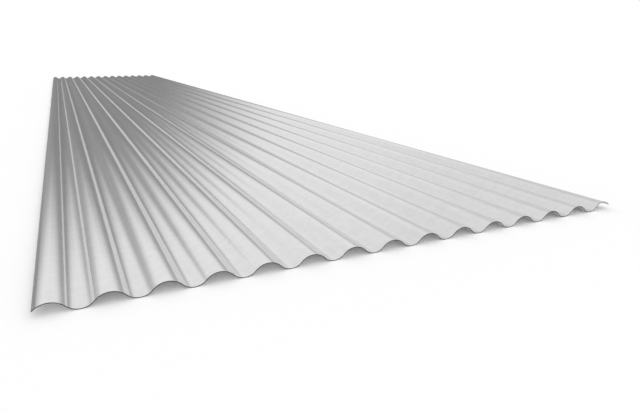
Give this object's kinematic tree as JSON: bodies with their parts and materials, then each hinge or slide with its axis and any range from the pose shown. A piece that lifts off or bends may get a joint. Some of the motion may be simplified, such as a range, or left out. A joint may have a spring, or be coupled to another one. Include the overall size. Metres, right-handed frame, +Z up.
{
  "type": "corrugated metal sheet",
  "caption": "Long metal roofing sheet of rounded lengthwise waves, square-cut at both ends, to lie on purlins and lap its neighbours.",
  "frame": {"origin": "under the middle of the sheet, in the plane of the undersides of its valleys", "axes": "+X across the waves, +Y along them, +Z up towards the crests"},
  "size_m": [1.1038, 6, 0.0177],
  "materials": {
    "zinc_coat": "satin"
  },
  "bodies": {
    "root": {"sheet": "zinc_coat"}
  },
  "joints": []
}
